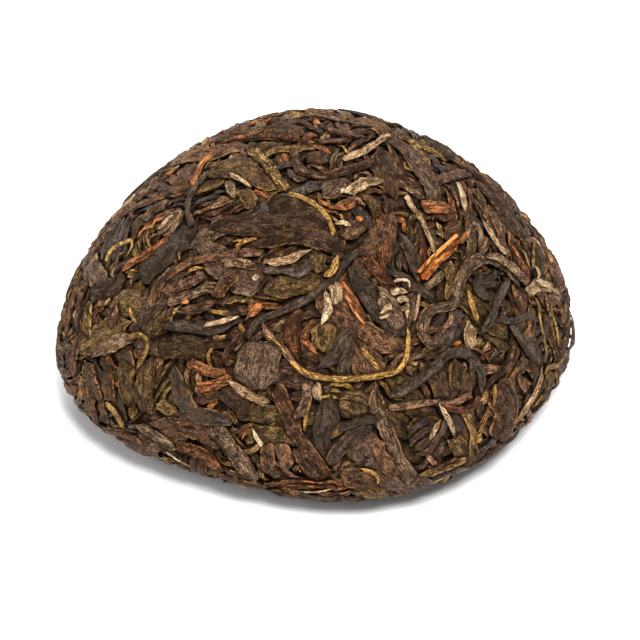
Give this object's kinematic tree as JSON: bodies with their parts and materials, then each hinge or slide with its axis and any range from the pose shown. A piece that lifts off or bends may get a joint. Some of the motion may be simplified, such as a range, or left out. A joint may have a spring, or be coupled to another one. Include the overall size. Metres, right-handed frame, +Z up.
{
  "type": "pressed raw tea cake",
  "caption": "Bowl-shaped cake of pressed raw tea leaves: a bumpy dome of twisted strips, stems and flat leaves that rests on a ring round a deep hollow.",
  "frame": {"origin": "under the middle of the cake, on the surface that it rests on", "axes": "+Z up through the crown of the dome, -Y towards the side that the picture shows, +X to its right"},
  "size_m": [0.083, 0.0826, 0.0461],
  "materials": {
    "pressed_tea": "dry, dark brown, mottled olive, russet and near black, with a dull sheen on the rolled strips"
  },
  "bodies": {
    "root": {"tea_cake": "pressed_tea"}
  },
  "joints": []
}
